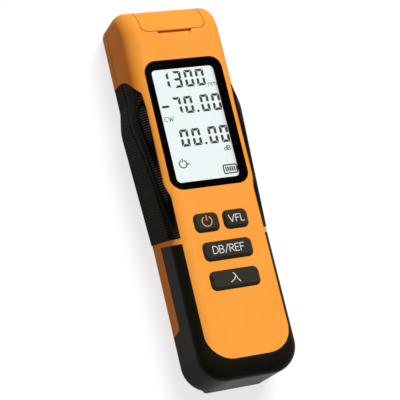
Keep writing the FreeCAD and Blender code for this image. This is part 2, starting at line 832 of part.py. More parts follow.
def board_screws():
    screws = []
    for number, (x, y) in enumerate(POSTS):
        name = "board_screw_%d" % number
        screws.append(rod(name + "_head", "Z", x, y, "board_bottom - board_screw_head_height", "board_screw_head",
                          "board_screw_head_height"))
        screws.append(rod(name + "_shank", "Z", x, y, "board_bottom - board_screw_head_height / 2",
                          "board_screw_radius", "board_thickness + front_inner - board_top - fit_gap"))
    return fuse("board_screws_solid", *screws)


finished(board_screws(), "board_screws")
finished(prism("controller_solid", "XY_Plane", rectangle("chip_width", "chip_width", "chip_corner"),
               "board_bottom - chip_height", "chip_height", up="window_y"), "controller_chip")
finished(prism("shield_solid", "XY_Plane", rectangle("shield_width", "shield_length", "chip_corner"),
               "board_bottom - shield_height", "shield_height", across="-port_x - shield_shift",
               up="thread_end - photodiode_length - lead_length - shield_length / 2 + shield_overlap"),
         "amplifier_shield")

# ---------------------------------------------------------------- port bay and optics

bay_half = "bay_width / 2"
DETECTOR_X, LASER_X = "-port_x", "port_x"


def bay_walls():
    """The block at the head that the port bay is cut into."""
    reach = "%s + bay_wall" % bay_half
    return common("bay_walls", cover_seat, block("bay_blank", (minus(reach), reach),
                                                  ("bay_back", FAR),
                                                  ("parting_height", "body_depth")))


def bay_room():
    """The bay's mouth, open to the head, and the groove that holds the port plate."""
    mouth = block("bay_mouth", (minus(bay_half), bay_half), ("plate_back - wall", FAR),
                  ("parting_height - fit_gap", "bay_top"))
    bite = "%s + plate_bite" % bay_half
    groove = block("plate_groove", (minus(bite), bite), ("plate_back - fit_gap / 2", "bay_y + fit_gap / 2"),
                   ("parting_height - fit_gap", "bay_top + plate_rise + fit_gap / 2"))
    return fuse("bay_room", mouth, groove)


def port_plate():
    bite = "%s + plate_bite - fit_gap / 2" % bay_half
    blank = block("plate_blank", (minus(bite), bite), ("plate_back", "bay_y"),
                  ("parting_height + fit_gap / 2", "bay_top + plate_rise"))
    holes = [rod("plate_hole_" + side, "Y", x, "plate_back - wall", "port_z", "thread_radius + fit_gap / 2", "3 * wall")
             for side, x in (("detector", DETECTOR_X), ("laser", LASER_X))]
    return cut("plate_solid", blank, *holes)


finished(port_plate(), "port_plate")


def turned(label, x, steps):
    """A turned piece on a port's axis from rings of (from, to, radius)."""
    rings = [rod("%s_ring_%d" % (label, number), "Y", x, low, "port_z", radius, "(%s) - (%s)" % (high, low))
             for number, (low, high, radius) in enumerate(steps)]
    return rings[0] if len(rings) == 1 else fuse(label + "_blank", *rings)


def adapter(label, x, bore_radius):
    """A flanged ferrule adapter: knurled neck in front of the plate, thread through it."""
    blank = turned(label, x, [
        ("bay_y", "bay_y + flange_thickness", "flange_radius"),
        ("bay_y", "neck_end", "neck_radius"),
        ("thread_end", "neck_end", "thread_radius"),
    ])
    bore = rod(label + "_bore", "Y", x, "neck_end - bore_depth", "port_z", bore_radius, "2 * bore_depth")
    light = rod(label + "_light", "Y", x, "nut_back - wall", "port_z", "ferrule_bore_radius / 2", "wall + bore_depth")
    return cut(label + "_solid", blank, bore, light)


def nut(label, x):
    ring = rod(label + "_ring", "Y", x, "nut_back", "port_z", "nut_radius", "nut_thickness")
    hole = rod(label + "_hole", "Y", x, "nut_back - wall", "port_z", "thread_radius", "3 * wall")
    return cut(label + "_solid", ring, hole)


finished(adapter("detector_adapter", DETECTOR_X, "ferrule_bore_radius"), "detector_adapter")
finished(adapter("laser_adapter", LASER_X, "ferrule_bore_radius + sleeve_wall"), "laser_adapter")
finished(nut("detector_nut", DETECTOR_X), "detector_nut")
finished(nut("laser_nut", LASER_X), "laser_nut")
finished(cut("sleeve_solid",
             rod("sleeve_blank", "Y", LASER_X, "neck_end - bore_depth", "port_z",
                 "ferrule_bore_radius + sleeve_wall", "bore_depth"),
             rod("sleeve_bore", "Y", LASER_X, "neck_end - 2 * bore_depth", "port_z", "ferrule_bore_radius",
                 "3 * bore_depth")), "ferrule_sleeve")
finished(turned("photodiode", DETECTOR_X, [
    ("thread_end - photodiode_length", "thread_end", "photodiode_radius"),
    ("thread_end - photodiode_length", "thread_end - photodiode_length + can_rim_thickness",
     "photodiode_radius + can_rim"),
    ("thread_end - photodiode_length - lead_length", "thread_end - photodiode_length", "lead_radius"),
]), "photodiode")
finished(turned("laser", LASER_X, [
    ("thread_end - laser_length", "thread_end", "laser_radius"),
    ("thread_end - laser_length - collar_length", "thread_end - laser_length", "laser_collar_radius"),
]), "laser_module")

# ---------------------------------------------------------------- battery door, cells and contacts


def battery_door():
    """A sliding plate with a rail down each side and a lip over the meter's foot."""
    made = body("door_body")
    foot = "foot_y"
    plate = profile(sketch(made, "door_outline", "XY_Plane", out="door_recess"), [
        (minus(door_half), foot, "lip_corner"),
        (door_half, foot, "lip_corner"),
        (door_half, "door_head", "lip_depth"),
        (minus(door_half), "door_head", "lip_depth"),
    ])
    pad(made, plate, "door_plate", "door_thickness")
    rail_half = "%s + rail_width" % door_half
    rail = profile(sketch(made, "door_rail_outline", "XY_Plane", out="rail_z"), [
        (minus(rail_half), "tub_foot", "0"),
        (rail_half, "tub_foot", "0"),
        (rail_half, "door_head - lip_depth", "0"),
        (minus(rail_half), "door_head - lip_depth", "0"),
    ])
    pad(made, rail, "door_rails", "rail_thickness")
    lip = profile(sketch(made, "door_lip_outline", "XY_Plane", out="door_recess"), [
        (minus(door_half), foot, "lip_corner"),
        (door_half, foot, "lip_corner"),
        (door_half, "foot_y + lip_depth", "0"),
        (minus(door_half), "foot_y + lip_depth", "0"),
    ])
    pad(made, lip, "door_lip", "lip_rise")
    for number in range(4):
        name = "door_groove_%d" % number
        groove = profile(sketch(made, name, "XY_Plane", up="door_head - groove_drop - %d * groove_pitch" % number),
                         rectangle("groove_length", "groove_width", "groove_depth"))
        pocket(made, groove, name + "_pocket", "door_recess + groove_depth", flip=True)
    return made


finished(battery_door(), "battery_door")


def battery(label, x, flip):
    """An AAA cell turned about its own axis, with its button at one end."""
    made = body(label + "_body")
    outline = profile(sketch(made, label + "_outline", "XY_Plane"), [
        ("0", "0", "0"),
        ("cell_radius", "0", "cell_foot_round"),
        ("cell_radius", "cell_length", "cell_head_round"),
        ("nub_radius", "cell_length", "0"),
        ("nub_radius", "cell_length + nub_length", "0"),
        ("0", "cell_length + nub_length", "0"),
    ])
    turn = made.newObject("PartDesign::Revolution", label + "_turned")
    turn.Profile = outline
    turn.ReferenceAxis = (outline, ["V_Axis"])
    turn.Angle = 360
    made.Placement.Rotation = Rotation(Vector(0, 0, 1), 180 if flip else 0)
    start = "tub_foot + contact_thickness"
    end = "%s + nub_length + cell_length" % start
    place(made, x, end if flip else "%s + spring_length" % start, "cell_z")
    doc.recompute()
    return made


finished(battery("battery_1", "-cell_x", False), "battery_1")
finished(battery("battery_2", "cell_x", True), "battery_2")


WIRE_SIDES = 8


def spring(label, x, y):
    """A coil spring of three turns that presses on a cell's flat end."""
    coil = doc.addObject("Part::Helix", label + "_coil")
    coil.setExpression("Radius", bound("spring_radius"))
    coil.setExpression("Height", bound("spring_length - 2 * spring_wire"))
    coil.setExpression("Pitch", bound("(spring_length - 2 * spring_wire) / 3"))
    wire = doc.addObject("Part::RegularPolygon", label + "_wire")
    wire.Polygon = WIRE_SIDES
    wire.setExpression("Circumradius", bound("spring_wire"))
    wire.Placement.Rotation = Rotation(Vector(1, 0, 0), 90)
    wire.setExpression("Placement.Base.x", bound("spring_radius"))
    doc.recompute()
    made = doc.addObject("Part::Sweep", label + "_solid")
    made.Sections = [wire]
    made.Spine = (coil, [])
    made.Solid = True
    made.Frenet = True
    made.Placement.Rotation = Rotation(Vector(1, 0, 0), -90)
    place(made, x, y, "cell_z")
    doc.recompute()
    return made


finished(spring("foot_spring", "-cell_x", "tub_foot + contact_thickness + spring_wire"), "foot_spring")
finished(spring("head_spring", "cell_x", "tub_head - contact_thickness - spring_length + spring_wire"),
         "head_spring")

plate_z = ("cell_z - contact_height / 2", "cell_z + contact_height / 2")
finished(block("bridge_solid", ("-cell_x - contact_height / 2", "cell_x + contact_height / 2"),
               ("tub_foot", "tub_foot + contact_thickness"), plate_z), "bridge_contact")
for label, x in (("positive_contact", "-cell_x"), ("negative_contact", "cell_x")):
    back = ("tub_head - contact_thickness", "tub_head")
    face = block(label + "_face", ("%s - contact_height / 2" % x, "%s + contact_height / 2" % x), back, plate_z)
    tab = block(label + "_tab", ("%s - tab_width / 2" % x, "%s + tab_width / 2" % x), back,
                ("cell_z", "board_bottom"))
    finished(fuse(label + "_solid", face, tab), label)
tab_slots = [block("tab_slot_" + side, ("%s - tab_width / 2 - fit_gap" % x, "%s + tab_width / 2 + fit_gap" % x),
                   ("tub_head - contact_thickness - fit_gap", "tub_head"), ("cell_z", "tub_top + 2 * tub_wall"))
             for side, x in (("positive", "-cell_x"), ("negative", "cell_x"))]

# ---------------------------------------------------------------- case screws


def case_screws():
    screws = []
    for number, (x, y) in enumerate(BOSSES):
        name = "case_screw_%d" % number
        head = rod(name + "_head", "Z", x, y, "screw_head_depth - screw_head_height", "screw_head_radius",
                   "screw_head_height")
        shank = rod(name + "_shank", "Z", x, y, "screw_head_depth - screw_head_height / 2", "screw_radius",
                    "parting_height + screw_grip - screw_head_depth")
        blank = fuse(name + "_blank", head, shank)
        arms = []
        for arm, (wide, tall) in enumerate((("cross_reach", "cross_half"), ("cross_half", "cross_reach"))):
            arms.append(block("%s_arm_%d" % (name, arm), ("%s - %s" % (x, wide), "%s + %s" % (x, wide)),
                              ("%s - %s" % (y, tall), "%s + %s" % (y, tall)),
                              ("0", "screw_head_depth - screw_head_height / 3")))
        screws.append(cut(name, blank, *arms))
    return fuse("case_screws_solid", *screws)


finished(case_screws(), "case_screws")

# ---------------------------------------------------------------- front shell


def front_shell():
    skin = cut("front_skin", common("front_outside", outer, front_half), cavity)
    bosses = [rod("front_boss_%d" % number, "Z", x, y, "parting_height", "boss_radius",
                  "front_inner - parting_height + fit_gap") for number, (x, y) in enumerate(BOSSES)]
    posts = [rod("front_post_%d" % number, "Z", x, y, "board_top", "post_radius",
                 "front_inner - board_top + fit_gap") for number, (x, y) in enumerate(POSTS)]
    inside = common("front_inside", seat, fuse("front_bosses", *bosses, *posts))
    blank = fuse("front_blank", skin, inside, bay_walls())
    pilots = [rod("front_pilot_%d" % number, "Z", x, y, "parting_height - wall", "screw_radius + fit_gap / 2",
                  "screw_grip + wall + fit_gap") for number, (x, y) in enumerate(BOSSES)]
    post_pilots = [rod("post_pilot_%d" % number, "Z", x, y, "board_top - wall", "board_screw_radius + fit_gap / 2",
                       "front_inner - board_top + wall") for number, (x, y) in enumerate(POSTS)]
    window = window_prism("window_opening", "window_width + 2 * lens_gap", "window_height + 2 * lens_gap",
                          "window_corner + lens_gap", "front_inner - wall", "2 * body_depth")
    frame_room = window_prism("frame_room", "frame_width + 2 * fit_gap", "frame_height + 2 * fit_gap",
                              "window_corner", "parting_height", "flange_top")
    scoop = common("thumb_scoop",
                   rod("scoop_roll", "X", "-scoop_width / 2", "cover_y", "body_depth + scoop_radius - scoop_depth",
                       "scoop_radius", "scoop_width"),
                   prism("scoop_sides", "XY_Plane", [
                       ("-scoop_width / 2", "cover_y", "0"),
                       ("-scoop_width / 2 + scoop_radius / 2", "cover_y - scoop_radius", "0"),
                       ("scoop_width / 2 - scoop_radius / 2", "cover_y - scoop_radius", "0"),
                       ("scoop_width / 2", "cover_y", "0"),
                   ], "0", "2 * body_depth"))
    return cut("front_shell_solid", blank, bay_room(), *pilots, *post_pilots, window, frame_room, scoop, *key_openings,
               cover_pocket, barrel_pocket, boot_pocket, grip_pocket, seam)


finished(front_shell(), "front_shell")

# ---------------------------------------------------------------- rear shell


def seam_lip():
    """A lip inside the seam that centres the front shell on the rear shell."""
    def ring(name, out, inside, low, high):
        band = block(name + "_band", ALL_X, ALL_Y, (low, high))
        return common(name, cut(name + "_ring", case_form(name + "_out", out), case_form(name + "_in", inside)),
                      band)
    upper = ring("lip_upper", "wall + fit_gap", "wall + fit_gap + lip_thickness", "parting_height - lip_height / 2",
                 "parting_height + lip_height")
    root = ring("lip_root", "wall - fit_gap", "wall + fit_gap + lip_thickness", "parting_height - lip_height",
                "parting_height - fit_gap / 2")
    gaps = [rod("lip_gap_%d" % number, "Z", x, y, "parting_height - fit_gap / 2", "boss_radius + fit_gap",
                "2 * lip_height") for number, (x, y) in enumerate(BOSSES)]
    head_gaps = [block("lip_gap_" + name, (minus(reach), reach), ("bay_back - fit_gap", FAR), ("0", "body_depth"))
                 for name, reach in (("bay", "%s + bay_wall + fit_gap" % bay_half), ("cheeks", cheek_end))]
    return cut("seam_lip", fuse("lip_blank", upper, root), *gaps, *head_gaps)


def rear_shell():
    skin = cut("rear_skin", common("rear_outside", outer, back_half), cavity)
    bosses = [rod("rear_boss_%d" % number, "Z", x, y, "0", "boss_radius", "parting_height")
              for number, (x, y) in enumerate(BOSSES)]
    cheek_start = "%s + cover_gap" % cover_half
    cheeks = [block("hinge_cheek_" + side, reach, ("hinge_y - back_round - wall / 2", FAR), ("0", "parting_height"))
              for side, reach in (("left", (minus(cheek_end), minus(cheek_start))),
                                  ("right", (cheek_start, cheek_end)))]
    reach = "max(%s + bay_wall; %s + cover_gap)" % (bay_half, cheek_start)
    floor = block("bay_floor", (minus(reach), reach), ("bay_back", FAR),
                  ("parting_height - wall / 2", "parting_height"))
    inside = common("rear_inside", outer, fuse("rear_bosses", *bosses, *cheeks, floor))
    tub_out = "tub_half + tub_wall"
    tub = block("tub_outside", (minus(tub_out), tub_out), ("tub_foot - tub_wall", "tub_head + tub_wall"),
                ("door_recess", "tub_top + tub_wall"))
    blank = fuse("rear_blank", skin, inside, tub, seam_lip())
    tub_room = block("tub_inside", ("-tub_half", "tub_half"), ("tub_foot", "tub_head"), ("-wall", "tub_top"))
    recesses = [rod("screw_recess_%d" % number, "Z", x, y, "-wall", "screw_head_radius + cover_gap",
                    "screw_head_depth + wall") for number, (x, y) in enumerate(BOSSES)]
    holes = [rod("screw_hole_%d" % number, "Z", x, y, "-wall", "screw_radius + fit_gap", "parting_height + 2 * wall")
             for number, (x, y) in enumerate(BOSSES)]
    return cut("rear_shell_solid", blank, tub_room, *tab_slots, *recesses, *holes, notch, barrel_pocket, pin_holes,
               cover_pocket, boot_pocket, grip_pocket, seam)


finished(rear_shell(), "rear_shell")

# ---------------------------------------------------------------- export

doc.recompute()
for made in doc.Objects:
    if {"Invalid", "Error"} & set(made.State):
        raise RuntimeError("%s did not build: %s" % (made.Name, made.State))
os.makedirs("parts", exist_ok=True)
for made in PARTS:
    shape = made.Shape
    if shape.isNull() or not shape.isValid() or not shape.Solids:
        raise RuntimeError("%s has no valid solid" % made.Label)
    shape.exportStep("parts/%s.step" % made.Label)
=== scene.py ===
import bpy
import math
from mathutils import Matrix, Vector


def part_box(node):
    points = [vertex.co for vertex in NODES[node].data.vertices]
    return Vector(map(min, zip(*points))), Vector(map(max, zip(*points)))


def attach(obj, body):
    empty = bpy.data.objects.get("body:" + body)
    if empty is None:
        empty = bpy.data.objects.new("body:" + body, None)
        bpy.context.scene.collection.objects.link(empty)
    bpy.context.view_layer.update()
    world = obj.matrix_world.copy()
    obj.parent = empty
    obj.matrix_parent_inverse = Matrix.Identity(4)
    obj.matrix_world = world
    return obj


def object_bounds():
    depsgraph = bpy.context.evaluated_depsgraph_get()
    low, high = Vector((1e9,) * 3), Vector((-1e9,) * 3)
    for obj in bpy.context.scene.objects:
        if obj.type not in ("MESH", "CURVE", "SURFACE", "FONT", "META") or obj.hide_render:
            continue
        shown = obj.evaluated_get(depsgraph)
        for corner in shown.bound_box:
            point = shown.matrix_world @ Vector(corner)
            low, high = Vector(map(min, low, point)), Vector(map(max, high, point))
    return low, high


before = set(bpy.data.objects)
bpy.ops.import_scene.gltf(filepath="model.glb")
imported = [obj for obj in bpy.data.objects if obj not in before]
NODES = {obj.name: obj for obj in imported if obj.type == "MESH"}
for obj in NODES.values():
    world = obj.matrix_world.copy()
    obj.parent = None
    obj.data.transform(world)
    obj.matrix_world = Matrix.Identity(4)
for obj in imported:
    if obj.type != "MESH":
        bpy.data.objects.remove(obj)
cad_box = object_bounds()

# The meter lies on its back: X across, Y towards the port end, Z out of the screen.
# Sizes here are in millimetres and angles in degrees; MM turns a length into metres.
MM = 0.001


# ---------------------------------------------------------------- colours and node trees

# the part of its range that a noise really fills
NOISE_LOW = 0.3
NOISE_HIGH = 0.7


def srgb(red, green, blue):
    """A colour from 0-255 values, made linear."""
    def linear(value):
        value /= 255.0
        return value / 12.92 if value <= 0.04045 else ((value + 0.055) / 1.055) ** 2.4
    return (linear(red), linear(green), linear(blue), 1.0)


def grey(level):
    """A grey from a linear value."""
    return (level, level, level, 1.0)


class Tree:
    """Adds nodes to one node tree. A source is a node's output or a plain value."""

    def __init__(self, tree):
        self.tree = tree

    def node(self, kind, **settings):
        made = self.tree.nodes.new(kind)
        for key, setting in settings.items():
            setattr(made, key, setting)
        return made

    def put(self, target, source):
        if isinstance(source, bpy.types.NodeSocket):
            self.tree.links.new(source, target)
        else:
            target.default_value = source

    def math(self, operation, first, second=0.0, clamp=False):
        made = self.node("ShaderNodeMath", operation=operation, use_clamp=clamp)
        self.put(made.inputs[0], first)
        self.put(made.inputs[1], second)
        return made.outputs[0]

    def plus(self, first, second):
        return self.math("ADD", first, second)

    def minus(self, first, second):
        return self.math("SUBTRACT", first, second)

    def times(self, first, second):
        return self.math("MULTIPLY", first, second)

    def weigh(self, share, first, second):
        """The first value where the share is 1 and the second where it is 0."""
        return self.plus(self.times(share, first), self.times(self.minus(1.0, share), second))

    def mix(self, factor, first, second):
        """The first colour where the factor is 0 and the second where it is 1."""
        made = self.node("ShaderNodeMix", data_type="RGBA")
        self.put(made.inputs["Factor"], factor)
        self.put(made.inputs["A"], first)
        self.put(made.inputs["B"], second)
        return made.outputs["Result"]

    def span(self, source, low, high, from_low=0.0, from_high=1.0):
        """Maps a range of the source to low and high, and holds it there."""
        made = self.node("ShaderNodeMapRange")
        for name, given in (("Value", source), ("From Min", from_low), ("From Max", from_high),
                            ("To Min", low), ("To Max", high)):
            self.put(made.inputs[name], given)
        return made.outputs["Result"]


class Look(Tree):
    """One material: its tree, its shader and the patterns that feed it."""

    SOCKETS = {"color": "Base Color", "rough": "Roughness", "metal": "Metallic", "alpha": "Alpha",
               "specular": "Specular IOR Level", "glow": "Emission Color",
               "glow_strength": "Emission Strength"}

    def __init__(self, name):
        self.material = bpy.data.materials.new(name)
        self.material.use_nodes = True
        super().__init__(self.material.node_tree)
        self.shader = self.tree.nodes["Principled BSDF"]
        self.place = self.node("ShaderNodeTexCoord").outputs["Object"]

    def set(self, **sockets):
        for key, source in sockets.items():
            self.put(self.shader.inputs[self.SOCKETS[key]], source)

    def axes(self):
        split = self.node("ShaderNodeSeparateXYZ")
        self.put(split.inputs[0], self.place)
        return split.outputs[0], split.outputs[1], split.outputs[2]

    def noise(self, size_mm, detail, roughness=0.55, place=None):
        made = self.node("ShaderNodeTexNoise")
        self.put(made.inputs["Vector"], place or self.place)
        made.inputs["Scale"].default_value = 1.0 / (size_mm * MM)
        made.inputs["Detail"].default_value = detail
        made.inputs["Roughness"].default_value = roughness
        return made.outputs["Fac"]

    def waves(self, length, pitch_mm):
        """Even waves from -1 to 1 along a length."""
        return self.math("SINE", self.times(length, 2 * math.pi / (pitch_mm * MM)))

    def ramp(self, noise, dark, light):
        """A colour that follows a noise."""
        made = self.node("ShaderNodeValToRGB")
        self.put(made.inputs["Fac"], noise)
        first, last = made.color_ramp.elements
        first.position = NOISE_LOW
        first.color = dark
        last.position = NOISE_HIGH
        last.color = light
        return made.outputs["Color"]

    def uneven(self, noise, low, high):
        """A value that follows a noise."""
        return self.span(noise, low, high, NOISE_LOW, NOISE_HIGH)

    def bump(self, height, depth_mm, strength=1.0):
        made = self.node("ShaderNodeBump")
        made.inputs["Distance"].default_value = depth_mm * MM
        made.inputs["Strength"].default_value = strength
        self.put(made.inputs["Height"], height)
        self.put(self.shader.inputs["Normal"], made.outputs["Normal"])


def add(name, data):
    """Puts new data into the scene as an object."""
    made = bpy.data.objects.new(name, data)
    bpy.context.scene.collection.objects.link(made)
    return made


def dress(material, *nodes):
    """Gives CAD nodes a material in place of their plain one."""
    for name in nodes:
        piece = NODES[name]
        if not piece.material_slots:
            piece.data.materials.append(material)
        for slot in piece.material_slots:
            slot.material = material


# ---------------------------------------------------------------- plastics and rubbers

# painted shade in narrow gaps and grooves: how far it reaches, and between which shares of open sky it
# fades
CREVICE_SHADE_REACH = 0.9
CREVICE_SHADE_CLOSED = 0.2
CREVICE_SHADE_OPEN = 0.7


def moulded(name, light, dark, rough, grain_mm, depth_mm,
            specular=0.5, spread=0.06, cloud_mm=14.0, painted_crevice_shade=None):
    """Moulded plastic or rubber: a slow change of shade, a fine grain and an uneven gloss.

    A painted shade colour, if given, darkens narrow gaps and grooves, where little open sky reaches.
    """
    look = Look(name)
    shade = look.ramp(look.noise(cloud_mm, 2.0), dark, light)
    grain = look.noise(grain_mm, 4.0, 0.6)
    # painted shade: where little open sky is near, the dark colour is mixed in
    if painted_crevice_shade:
        gap = look.node("ShaderNodeAmbientOcclusion", samples=6)
        gap.inputs["Distance"].default_value = CREVICE_SHADE_REACH * MM
        shade = look.mix(look.span(gap.outputs["AO"], 0.0, 1.0, CREVICE_SHADE_CLOSED, CREVICE_SHADE_OPEN), painted_crevice_shade, shade)
    look.set(color=shade, specular=specular, rough=look.uneven(grain, rough - spread, rough + spread))
    look.bump(grain, depth_mm)
    return look.material


# the deep brown below is painted shade in the case's seams, gaps and grooves
dress(moulded("case_orange", srgb(253, 168, 68), srgb(251, 163, 62), rough=0.45, grain_mm=0.35,
              depth_mm=0.006, specular=0.03, painted_crevice_shade=srgb(88, 30, 2)),
      "front_shell", "rear_shell", "port_cover")
dress(moulded("boot_black", srgb(28, 26, 20), srgb(22, 20, 15), rough=0.3, grain_mm=0.6,
              depth_mm=0.002, specular=0.015, spread=0.03),
      "end_boot")
dress(moulded("door_black", srgb(24, 24, 22), srgb(17, 17, 15), rough=0.45, grain_mm=0.3,
              depth_mm=0.008, specular=0.15),
      "battery_door")
dress(moulded("key_rubber", srgb(50, 49, 43), srgb(44, 43, 38), rough=0.5, grain_mm=0.3,
              depth_mm=0.01, specular=0.04, cloud_mm=5.0),
      "power_key", "vfl_key", "reference_key", "wavelength_key")
dress(moulded("frame_black", srgb(6, 6, 6), srgb(4, 4, 4), rough=0.5, grain_mm=0.3,
              depth_mm=0.006, specular=0.0),
      "lcd_frame")
dress(moulded("silicone_black", srgb(52, 52, 52), srgb(40, 40, 40), rough=0.6, grain_mm=0.4,
              depth_mm=0.01),
      "keypad_mat")
dress(moulded("plate_black", srgb(40, 40, 42), srgb(30, 30, 32), rough=0.5, grain_mm=0.3,
              depth_mm=0.012),
      "port_plate")
dress(moulded("diffuser_white", srgb(238, 240, 236), srgb(228, 231, 226), rough=0.55, grain_mm=0.6,
              depth_mm=0.006),
      "backlight")
dress(moulded("ceramic", srgb(240, 238, 228), srgb(232, 229, 216), rough=0.16, grain_mm=0.5,
              depth_mm=0.002, spread=0.03),
      "ferrule_sleeve")
dress(moulded("package_black", srgb(34, 34, 36), srgb(24, 24, 26), rough=0.62, grain_mm=0.2,
              depth_mm=0.01),
      "controller_chip")


# ---------------------------------------------------------------- metals

# the lay's scale along its axis as a share of its scale across, and its depth
LAY_STRETCH = 0.04
LAY_DEPTH = 0.004
NICKEL_LIGHT = srgb(214, 212, 204)
NICKEL_DARK = srgb(176, 174, 168)


def metal(name, light, dark, rough, lay_mm, axis):
    """Turned, drawn or pressed metal with fine lay marks along one axis (0, 1 or 2)."""
    look = Look(name)
    stretch = look.node("ShaderNodeMapping")
    stretch.inputs["Scale"].default_value[axis] = LAY_STRETCH
    look.put(stretch.inputs["Vector"], look.place)
    lay = look.noise(lay_mm, 3.0, 0.5, stretch.outputs["Vector"])
    look.set(color=look.ramp(lay, dark, light), metal=1.0,
             rough=look.uneven(lay, rough - 0.08, rough + 0.1))
    look.bump(lay, LAY_DEPTH)
    return look.material


dress(metal("nickel", NICKEL_LIGHT, NICKEL_DARK, rough=0.26, lay_mm=0.25, axis=1),
      "bridge_contact", "positive_contact", "negative_contact", "foot_spring", "head_spring")
dress(metal("brass", srgb(224, 188, 112), srgb(186, 148, 76), rough=0.3, lay_mm=0.25, axis=1),
      "detector_nut", "laser_nut", "laser_module", "photodiode")
dress(metal("steel", srgb(196, 198, 200), srgb(150, 152, 156), rough=0.32, lay_mm=0.3, axis=2),
      "case_screws", "board_screws", "cover_pin")
dress(metal("tin", srgb(206, 208, 208), srgb(168, 170, 172), rough=0.36, lay_mm=0.5, axis=0),
      "amplifier_shield", "tact_switches")


KNURL_TEETH = 32
THREAD_PITCH = 0.5
TURNED_DEPTH = 0.04


def adapter_material():
    """Nickel, with a straight knurl in front of the port plate and a fine thread behind it."""
    look = Look("adapter_nickel")
    x, y, z = look.axes()
    low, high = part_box("laser_adapter")
    across = look.minus(look.math("ABSOLUTE", x), (low.x + high.x) / 2)
    up = look.minus(z, (low.z + high.z) / 2)
    teeth = look.math("SINE", look.times(look.math("ARCTAN2", up, across), KNURL_TEETH))
    neck = look.math("GREATER_THAN", y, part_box("port_plate")[1].y)
    lay = look.noise(0.3, 3.0)
    look.set(color=look.ramp(lay, NICKEL_DARK, NICKEL_LIGHT), metal=1.0,
             rough=look.uneven(lay, 0.32, 0.46))
    look.bump(look.weigh(neck, teeth, look.waves(y, THREAD_PITCH)), TURNED_DEPTH)
    return look.material


dress(adapter_material(), "detector_adapter", "laser_adapter")


# ---------------------------------------------------------------- board, cells and strip

# fields of the board between its tracks, for each metre, and a track's half width as a share of one
FIELDS_PER_METRE = 420.0
TRACK_HALF_WIDTH = 0.08
SLEEVE_BAND = 13.0
STRIP_PITCH = 0.5


def board_material():
    """Solder mask over faint tracks."""
    look = Look("board_mask")
    fields = look.node("ShaderNodeTexVoronoi", distance="MANHATTAN", feature="DISTANCE_TO_EDGE")
    fields.inputs["Scale"].default_value = FIELDS_PER_METRE
    look.put(fields.inputs["Vector"], look.place)
    track = look.math("LESS_THAN", fields.outputs["Distance"], TRACK_HALF_WIDTH)
    look.set(color=look.mix(track, srgb(18, 84, 46), srgb(34, 112, 62)),
             rough=look.span(look.noise(0.8, 3.0), 0.28, 0.4))
    look.bump(track, 0.03, 0.5)
    return look.material


def cell_material():
    """A plain battery sleeve: a copper-coloured band at the head end and a dark barrel."""
    look = Look("cell_sleeve")
    _, y, _ = look.axes()
    foil = look.noise(1.2, 3.0)
    band = look.math("GREATER_THAN", y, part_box("battery_1")[1].y - SLEEVE_BAND * MM)
    barrel = look.ramp(foil, srgb(34, 36, 44), srgb(46, 48, 58))
    copper = look.ramp(foil, srgb(186, 116, 66), srgb(208, 140, 84))
    look.set(color=look.mix(band, barrel, copper), metal=0.35, rough=look.span(foil, 0.24, 0.36))
    look.bump(foil, 0.01)
    return look.material


def strip_material():
    """The strip that joins the display to the board: fine conducting layers in rubber."""
    look = Look("zebra_strip")
    x, _, _ = look.axes()
    layers = look.waves(x, STRIP_PITCH)
    conducting = look.math("GREATER_THAN", layers, 0.0)
    look.set(color=look.mix(conducting, srgb(26, 26, 28), srgb(196, 176, 140)), rough=0.6)
    look.bump(layers, 0.01)
    return look.material


dress(board_material(), "main_board")
dress(cell_material(), "battery_1", "battery_2")
dress(strip_material(), "display_connector")


# ---------------------------------------------------------------- grips

# the long fold on each grip: how far from the grip's head end, and how high above the back
FOLD = ((0.0, 13.0), (4.8, 13.5), (12.8, 14.8), (21.6, 16.1),
        (27.7, 18.2), (37.7, 21.0), (46.0, 22.3), (66.5, 23.4))
FOLD_HALF_WIDTH = 1.5
FOLD_DEPTH = 0.9
# how much the front stands proud of the ribbed back, and half the width of the change between them
FRONT_STEP = 0.5
FRONT_BLEND = 0.5
RIB_PITCH = 1.2
RIB_SLANT = 0.55
GRID_PITCH = 0.98
PATTERN_DEPTH = 0.16
GRAIN_DEPTH = 0.02


def fold_height(look, y):
    """How high the fold lies at each place along the grip, in metres."""
    low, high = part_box("grip_left")
    length = (high.y - low.y) / MM
    top = high.z / MM
    curve = look.node("ShaderNodeFloatCurve")
    look.put(curve.inputs["Value"], look.span(y, 1.0, 0.0, low.y, high.y))
    points = curve.mapping.curves[0].points
    points[0].location = (0.0, FOLD[0][1] / top)
    points[1].location = (1.0, FOLD[-1][1] / top)
    for along, height in FOLD[1:-1]:
        points.new(along / length, height / top)
    curve.mapping.update()
    return look.times(curve.outputs["Value"], top * MM)


